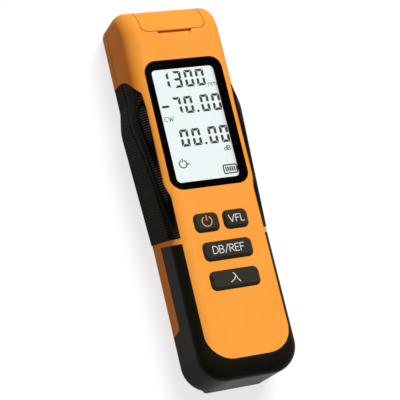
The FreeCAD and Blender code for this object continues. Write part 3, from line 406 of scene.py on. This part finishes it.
def grip_material():
    """Slanting ribs behind, a square grid in front, and a long fold that parts them, with painted
    highlights on the ridges and painted shade in the grooves and the fold.
    """
    look = Look("grip_rubber")
    x, y, z = look.axes()
    above = look.minus(z, fold_height(look, y))
    front = look.span(above, 0.0, 1.0, -FRONT_BLEND * MM, FRONT_BLEND * MM)
    reach = look.math("DIVIDE", look.math("ABSOLUTE", above), FOLD_HALF_WIDTH * MM, clamp=True)
    valley = look.minus(1.0, look.math("POWER", reach, 1.6))
    ribs = look.waves(look.plus(y, look.times(z, RIB_SLANT)), RIB_PITCH)
    girth = look.plus(z, look.math("ABSOLUTE", x))
    grid = look.math("MINIMUM", look.waves(girth, GRID_PITCH), look.waves(y, GRID_PITCH))
    pattern = look.times(look.weigh(front, grid, ribs), look.minus(1.0, valley))
    grain = look.noise(0.3, 3.0)
    # painted light and shade: the pattern's ridges are painted grey and its grooves near black
    ridge_light_and_groove_shade = look.mix(look.span(pattern, 0.0, 1.0, -0.6, 1.0), srgb(3, 3, 3), srgb(64, 62, 56))
    # painted shade: the fold's valley is painted near black
    look.set(color=look.mix(look.math("POWER", valley, 2.0), ridge_light_and_groove_shade, srgb(2, 2, 2)), specular=0.015,
             rough=look.uneven(grain, 0.5, 0.7))
    relief = look.plus(look.times(pattern, PATTERN_DEPTH), look.times(grain, GRAIN_DEPTH))
    step = look.minus(look.times(front, FRONT_STEP), look.times(valley, FOLD_DEPTH))
    look.bump(look.plus(relief, step), 1.0)
    return look.material


dress(grip_material(), "grip_left", "grip_right")


# ---------------------------------------------------------------- window and display

# where the lit display turns greyer, right of its middle
SHADE_START = 11.4
SHADE_END = 13.0


def lens_material():
    """Clear acrylic, thin enough to be shown as a faint film of gloss."""
    look = Look("lens_clear")
    smear = look.noise(9.0, 3.0)
    look.set(color=srgb(8, 8, 8), specular=0.1, rough=look.span(smear, 0.03, 0.07, 0.4, 0.8),
             alpha=look.uneven(smear, 0.015, 0.03))
    return look.material


def lcd_material():
    """The lit display: white, faintly clouded, and greyer towards its right edge."""
    look = Look("lcd_lit")
    x, _, _ = look.axes()
    edge = look.span(x, 0.0, 1.0, SHADE_START * MM, SHADE_END * MM)
    shade = look.math("MULTIPLY", edge, 0.9, clamp=True)
    glow = look.mix(shade, srgb(240, 251, 251), srgb(206, 190, 194))
    cloud = look.noise(16.0, 2.0)
    glow = look.mix(look.times(cloud, 0.12), glow, srgb(246, 253, 253))
    look.set(color=srgb(30, 31, 30), glow=glow, glow_strength=0.97, specular=0.05,
             rough=look.span(cloud, 0.3, 0.4))
    return look.material


dress(lens_material(), "display_lens")
dress(lcd_material(), "lcd_cell")


# ---------------------------------------------------------------- printed marks

# each outline of a plate is this much thicker than the one before, so that no two share a face
HAIR = 0.0006
CAP_STEPS = 6
SPOT_LENGTH = 0.01
# points nearer than this are one point, as where an arc starts at the end of a line
SAME_POINT = 1e-9


def ink(name, shade):
    """Printing ink with a faint mottle."""
    look = Look(name)
    mottle = look.noise(0.25, 2.0)
    dark = tuple(channel * 0.82 for channel in shade[:3]) + (1.0,)
    look.set(color=look.ramp(mottle, dark, shade), rough=look.uneven(mottle, 0.4, 0.55), specular=0.2)
    return look.material


SEGMENT_INK = ink("segment_ink", srgb(6, 7, 7))
SIGN_INK = ink("sign_ink", srgb(34, 37, 37))
LEGEND_WHITE = ink("legend_white", srgb(246, 246, 242))
LEGEND_ORANGE = ink("legend_orange", srgb(250, 172, 92))


def arc(middle_x, middle_y, reach_x, reach_y, start, stop, steps=10):
    """Points on an arc of a circle or an ellipse."""
    turns = [math.radians(start + (stop - start) * step / steps) for step in range(steps + 1)]
    return [(middle_x + reach_x * math.cos(turn), middle_y + reach_y * math.sin(turn)) for turn in turns]


class Plate:
    """Collects flat raised outlines at one level and makes them one thin mesh."""

    def __init__(self, name, level, thickness, material, body, slot):
        self.name, self.level, self.thickness = name, level, thickness
        self.material, self.body, self.slot = material, body, slot
        self.verts, self.faces = [], []

    def outline(self, corners):
        """Raises one convex outline, whose corners run counter-clockwise."""
        start, count = len(self.verts), len(corners)
        self.thickness += HAIR
        for z in (self.level, self.level + self.thickness):
            self.verts += [(x * MM, y * MM, z * MM) for x, y in corners]
        low = list(range(start, start + count))
        high = [corner + count for corner in low]
        self.faces += [low[::-1], high]
        for here in range(count):
            after = (here + 1) % count
            self.faces.append((low[here], low[after], high[after], high[here]))

    def stroke(self, points, width):
        """A line of even width with round ends and round joints."""
        radius = width / 2
        for (x0, y0), (x1, y1) in zip(points, points[1:]):
            if math.hypot(x1 - x0, y1 - y0) < SAME_POINT:
                continue
            along = math.degrees(math.atan2(y1 - y0, x1 - x0))
            self.outline(arc(x0, y0, radius, radius, along + 90, along + 270, CAP_STEPS)
                         + arc(x1, y1, radius, radius, along + 270, along + 450, CAP_STEPS))

    def spot(self, x, y, width):
        """A dot, as a very short stroke."""
        self.stroke([(x, y), (x + SPOT_LENGTH, y)], width)

    def finish(self):
        """Makes the mesh, which rides on the plate's body."""
        mesh = bpy.data.meshes.new(self.name)
        mesh.from_pydata(self.verts, [], self.faces)
        mesh.update()
        made = add(self.name, mesh)
        made.data.materials.append(self.material)
        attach(made, self.body)


# letters as strokes in a box one unit high: (width, strokes)
LETTERS = {
    "V": (0.78, [[(0, 1), (0.39, 0), (0.78, 1)]]),
    "F": (0.5, [[(0, 0), (0, 1), (0.5, 1)], [(0, 0.52), (0.42, 0.52)]]),
    "L": (0.46, [[(0, 1), (0, 0), (0.46, 0)]]),
    "D": (0.68, [[(0, 0), (0, 1), (0.25, 1)] + arc(0.25, 0.5, 0.43, 0.5, 90, -90) + [(0, 0)]]),
    "B": (0.58, [[(0, 0), (0, 1), (0.3, 1)] + arc(0.3, 0.765, 0.24, 0.235, 90, -90) + [(0, 0.53)],
                 [(0.3, 0.53)] + arc(0.3, 0.265, 0.28, 0.265, 90, -90) + [(0, 0)]]),
    "/": (0.42, [[(0, -0.06), (0.42, 1.06)]]),
    "R": (0.6, [[(0, 0), (0, 1), (0.28, 1)] + arc(0.28, 0.74, 0.27, 0.26, 90, -90) + [(0, 0.48)],
                [(0.26, 0.48), (0.6, 0)]]),
    "E": (0.5, [[(0.5, 1), (0, 1), (0, 0), (0.5, 0)], [(0, 0.52), (0.43, 0.52)]]),
    "C": (0.72, [arc(0.42, 0.5, 0.42, 0.5, 50, 310, 14)]),
    "W": (1.1, [[(0, 1), (0.28, 0), (0.55, 0.85), (0.82, 0), (1.1, 1)]]),
    "d": (0.58, [[(0.58, 0), (0.58, 1)], arc(0.29, 0.33, 0.29, 0.33, 0, 360, 14)]),
    "n": (0.5, [[(0, 0), (0, 0.62)], [(0, 0.36)] + arc(0.25, 0.4, 0.25, 0.22, 180, 0) + [(0.5, 0)]]),
    "m": (0.86, [[(0, 0), (0, 0.62)], [(0, 0.36)] + arc(0.215, 0.4, 0.215, 0.22, 180, 0) + [(0.43, 0)],
                 [(0.43, 0.36)] + arc(0.645, 0.4, 0.215, 0.22, 180, 0) + [(0.86, 0)]]),
    "i": (0.0, [[(0, 0), (0, 0.62)], [(0, 0.84), (0, 0.86)]]),
}


def write(plate, text, left, foot, height, line, spread=1.0, gap=0.22):
    """Sets a word as strokes; spread widens the letters, and the gap is a share of the height."""
    for letter in text:
        wide, strokes = LETTERS[letter]
        for points in strokes:
            plate.stroke([(left + x * height * spread, foot + y * height) for x, y in points], line)
        left += (wide * spread + gap) * height


def power_sign(plate, x, y, radius, opening, steps, bar, line):
    """A ring open at its top, with an upright bar in the opening."""
    plate.stroke(arc(x, y, radius, radius, 90 + opening / 2, 450 - opening / 2, steps), line)
    plate.stroke([(x, y + bar[0]), (x, y + bar[1])], line)


# ---------------------------------------------------------------- seven-segment figures

FIGURE_WIDTH = 3.5
FIGURE_HEIGHT = 6.95
BAR = 1.02
BAR_GAP = 0.2

# the bars that each figure lights, named as on any seven-segment display
BARS = {"0": "abcdef", "1": "bc", "3": "abcdg", "7": "abc"}


def level_bar(x, y, up):
    """The bar along a figure's top or foot; up is 1 or -1."""
    half = FIGURE_WIDTH / 2
    edge = y + up * FIGURE_HEIGHT / 2
    corners = [(x - half + BAR_GAP, edge), (x - half + BAR, edge - up * BAR),
               (x + half - BAR, edge - up * BAR), (x + half - BAR_GAP, edge)]
    return corners if up > 0 else corners[::-1]


def upright_bar(x, y, across, up, apart):
    """A bar at one side of a figure's upper or lower half; across and up are 1 or -1."""
    outer = x + across * FIGURE_WIDTH / 2
    inner = outer - across * BAR
    end = y + up * FIGURE_HEIGHT / 2
    corners = [(outer, end - up * BAR_GAP), (outer, y + up * (apart + 0.2)),
               (outer - across * BAR / 2, y + up * apart), (inner, y + up * (apart + 0.3)),
               (inner, end - up * (BAR + BAR_GAP))]
    return corners if across * up < 0 else corners[::-1]


def middle_bar(x, y):
    """The pointed bar through a figure's middle."""
    tip = FIGURE_WIDTH / 2 - BAR_GAP - 0.1
    shoulder = FIGURE_WIDTH / 2 - BAR
    return [(x - tip, y), (x - shoulder, y - BAR / 2), (x + shoulder, y - BAR / 2),
            (x + tip, y), (x + shoulder, y + BAR / 2), (x - shoulder, y + BAR / 2)]


def figure(plate, sign, x, y):
    """One display figure; its upright bars stand further apart where the middle bar is dark."""
    lit = BARS[sign]
    apart = 0.2 if "g" in lit else 0.36
    shapes = {"a": level_bar(x, y, 1), "d": level_bar(x, y, -1), "g": middle_bar(x, y),
              "b": upright_bar(x, y, 1, 1, apart), "c": upright_bar(x, y, 1, -1, apart),
              "e": upright_bar(x, y, -1, -1, apart), "f": upright_bar(x, y, -1, 1, apart)}
    for name in lit:
        plate.outline(shapes[name])


# ---------------------------------------------------------------- what the display shows

MARK_THICKNESS = 0.02

# rows of figures: height above the window's middle, and each figure with its place across
ROWS = ((18.45, (("1", -8.0), ("3", -2.85), ("0", 1.95), ("0", 6.65))),
        (7.8, (("7", -5.45), ("0", -0.7), ("0", 6.05), ("0", 10.85))),
        (-5.4, (("0", -5.55), ("0", -0.7), ("0", 6.05), ("0", 10.85))))
MINUS_START = -11.3
MINUS_END = -9.2
MINUS_LINE = 0.95
POINT_X = 2.6
POINT_DROP = 2.95
POINT_SIZE = 1.0

# words: left end, foot above the window's middle, height, width of line and spread
WORDS = (("nm", 9.2, 14.6, 2.0, 0.22, 1.1),
         ("CW", -11.9, 1.8, 1.8, 0.24, 1.0),
         ("dB", 9.3, -12.1, 1.8, 0.26, 1.0))
TIMER_X = -8.75
TIMER_Y = -15.6

# the battery gauge: its place, the middles of its case's round corners, its tip and its slanting bars
GAUGE_X = 9.75
GAUGE_Y = -19.65
CASE_LEFT = -2.3
CASE_RIGHT = 2.2
CASE_HALF_HEIGHT = 1.2
CASE_CORNER = 0.45
CASE_LINE = 0.52
TIP_X = 2.95
TIP_REACH = 0.5
TIP_LINE = 0.5
CHARGE_BARS = 5
CHARGE_START = -1.95
CHARGE_PITCH = 0.86
CHARGE_WIDTH = 0.56
CHARGE_SLANT = 0.14
CHARGE_REACH = 0.95


def window_middle():
    """The middle of the window along the meter, which the display's marks and the camera start from."""
    low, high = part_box("display_lens")
    return (low.y + high.y) / 2 / MM


def display_plate(name, material):
    """An empty plate on the face of the display."""
    return Plate(name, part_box("lcd_cell")[1].z / MM, MARK_THICKNESS, material, "case", "lcd_glass")


def draw_figures(middle):
    """The wavelength, the power and the reference, with a minus and two decimal points."""
    plate = display_plate("lcd_figures", SEGMENT_INK)
    for height, signs in ROWS:
        for sign, x in signs:
            figure(plate, sign, x, middle + height)
    minus_y = middle + ROWS[1][0]
    plate.stroke([(MINUS_START, minus_y), (MINUS_END, minus_y)], MINUS_LINE)
    for height, _ in ROWS[1:]:
        plate.spot(POINT_X, middle + height - POINT_DROP, POINT_SIZE)
    plate.finish()


def draw_signs(middle):
    """The units, the mode and the switch-off timer."""
    plate = display_plate("lcd_signs", SIGN_INK)
    for word, left, foot, height, line, spread in WORDS:
        write(plate, word, left, middle + foot, height, line, spread)
    timer_y = middle + TIMER_Y
    power_sign(plate, TIMER_X, timer_y, radius=1.5, opening=56, steps=20, bar=(0.9, 2.0), line=0.42)
    write(plate, "min", TIMER_X + 0.9, timer_y - 0.5, height=0.95, line=0.12, spread=1.1)
    plate.finish()


def draw_gauge(middle):
    """The battery gauge, full."""
    plate = display_plate("lcd_gauge", SEGMENT_INK)
    y = middle + GAUGE_Y
    case = []
    for across, up, start in ((CASE_RIGHT, 1, 90), (CASE_RIGHT, -1, 0),
                              (CASE_LEFT, -1, 270), (CASE_LEFT, 1, 180)):
        case += arc(GAUGE_X + across, y + up * CASE_HALF_HEIGHT, CASE_CORNER, CASE_CORNER,
                    start, start - 90, steps=4)
    plate.stroke(case + case[:1], CASE_LINE)
    plate.stroke([(GAUGE_X + TIP_X, y + TIP_REACH), (GAUGE_X + TIP_X, y - TIP_REACH)], TIP_LINE)
    for number in range(CHARGE_BARS):
        left = GAUGE_X + CHARGE_START + number * CHARGE_PITCH
        right = left + CHARGE_WIDTH
        plate.outline([(left, y - CHARGE_REACH), (right, y - CHARGE_REACH),
                       (right - CHARGE_SLANT, y + CHARGE_REACH), (left - CHARGE_SLANT, y + CHARGE_REACH)])
    plate.finish()


draw_figures(window_middle())
draw_signs(window_middle())
draw_gauge(window_middle())


# ---------------------------------------------------------------- key legends

LEGEND_LINE = 0.28
LEGEND_SINK = 0.005
LEGEND_THICKNESS = 0.03

# the two strokes of the wavelength sign, from the middle of its key
WAVELENGTH_SIGN = (((-0.75, 1.95), (-0.3, 1.75), (0.05, 1.1), (0.75, -0.5), (1.6, -1.5)),
                   ((0.15, 0.85), (-0.7, -0.5), (-2.1, -1.3)))


def legend_plate(key, material):
    """An empty legend on a key, and the middle of that key."""
    low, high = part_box(key)
    plate = Plate(key.replace("_key", "_legend"), high.z / MM - LEGEND_SINK, LEGEND_THICKNESS,
                  material, key, "key_rubber")
    return plate, (low.x + high.x) / 2 / MM, (low.y + high.y) / 2 / MM


def power_legend():
    """The power sign, in orange."""
    plate, x, y = legend_plate("power_key", LEGEND_ORANGE)
    power_sign(plate, x - 0.05, y + 0.2, radius=1.95, opening=70, steps=24, bar=(0.45, 2.15), line=0.36)
    plate.finish()


def word_legend(key, text, left, foot, height, spread, gap):
    """A word whose left end and foot are given from the middle of its key."""
    plate, x, y = legend_plate(key, LEGEND_WHITE)
    write(plate, text, x + left, y + foot, height, LEGEND_LINE, spread, gap)
    plate.finish()


def wavelength_legend():
    """The Greek letter for a wavelength."""
    plate, x, y = legend_plate("wavelength_key", LEGEND_WHITE)
    for points in WAVELENGTH_SIGN:
        plate.stroke([(x + across, y + up) for across, up in points], LEGEND_LINE)
    plate.finish()


power_legend()
word_legend("vfl_key", "VFL", left=-3.0, foot=-1.25, height=2.7, spread=1.08, gap=0.2)
word_legend("reference_key", "DB/REF", left=-6.3, foot=-1.2, height=2.8, spread=1.04, gap=0.21)
wavelength_legend()


# ---------------------------------------------------------------- floor, light and camera

FLOOR_HALF = 1600.0
FLOOR_DROP = 0.1
# the white that the camera sees is part lit, which keeps the shadow, and part glow
FLOOR_LIT = grey(0.26)
FLOOR_GLOW = grey(0.76)
# what the floor and the studio throw on the meter: a little warm, against a slightly cool lamp
FLOOR_DIM = (0.30, 0.20, 0.13, 1.0)
STUDIO_DIM = (0.25, 0.18, 0.13, 1.0)

LAMP_FROM = (0.2, 0.45, 0.87)
LAMP_POWER = 2.85
LAMP_SPREAD = 22.0
LAMP_COLOUR = (0.96, 1.0, 1.05)

# the camera and what it looks at, with Y from the window's middle, and how far the picture leans
CAMERA_PLACE = (-217.0, -171.2, 526.1)
CAMERA_TARGET = (-0.2, -26.8, 13.0)
CAMERA_LEAN = -13.606


def background(tree, dim, bright):
    """Bright to the camera, in reflections and through glass, and dim as light on the object."""
    path = tree.node("ShaderNodeLightPath")
    seen = tree.plus(path.outputs["Is Camera Ray"], path.outputs["Is Glossy Ray"])
    seen = tree.math("ADD", seen, path.outputs["Is Transmission Ray"], clamp=True)
    return tree.mix(seen, dim, bright)


def floor():
    """A plain white floor just under the meter."""
    half = FLOOR_HALF * MM
    corners = [(-half, -half, 0), (half, -half, 0), (half, half, 0), (-half, half, 0)]
    mesh = bpy.data.meshes.new("floor")
    mesh.from_pydata(corners, [], [(0, 1, 2, 3)])
    made = add("floor", mesh)
    made.location.z = cad_box[0][2] - FLOOR_DROP * MM
    look = Look("floor_white")
    look.set(color=background(look, FLOOR_DIM, FLOOR_LIT), glow=background(look, grey(0.0), FLOOR_GLOW),
             glow_strength=1.0, rough=1.0, specular=0.0)
    mesh.materials.append(look.material)


def studio():
    """The light that comes from all round."""
    made = bpy.data.worlds.new("studio")
    bpy.context.scene.world = made
    made.use_nodes = True
    tree = Tree(made.node_tree)
    colour = made.node_tree.nodes["Background"].inputs["Color"]
    tree.put(colour, background(tree, STUDIO_DIM, grey(1.0)))


def lamp():
    """One broad soft lamp, from above and past the head."""
    data = bpy.data.lights.new("key_light", "SUN")
    data.energy = LAMP_POWER
    data.angle = math.radians(LAMP_SPREAD)
    data.color = LAMP_COLOUR
    add("key_light", data).rotation_euler = Vector(LAMP_FROM).to_track_quat("Z", "Y").to_euler()


def camera():
    """Looks down on the face from the foot's left, as the photograph does."""
    data = bpy.data.cameras.new("camera")
    data.lens = 135.0
    data.sensor_width = 36.0
    data.clip_start = 10.0 * MM
    made = add("camera", data)
    window = Vector((0, window_middle(), 0))
    place = (window + Vector(CAMERA_PLACE)) * MM
    target = (window + Vector(CAMERA_TARGET)) * MM
    back = (place - target).normalized()
    across = Vector((0, 1, 0)).cross(back).normalized()
    turn = Matrix((across, back.cross(across), back)).transposed()
    lean = Matrix.Rotation(math.radians(CAMERA_LEAN), 3, "Z")
    made.matrix_world = Matrix.Translation(place) @ (turn @ lean).to_4x4()
    bpy.context.scene.camera = made


floor()
studio()
lamp()
camera()
bpy.context.scene.view_settings.view_transform = "Standard"
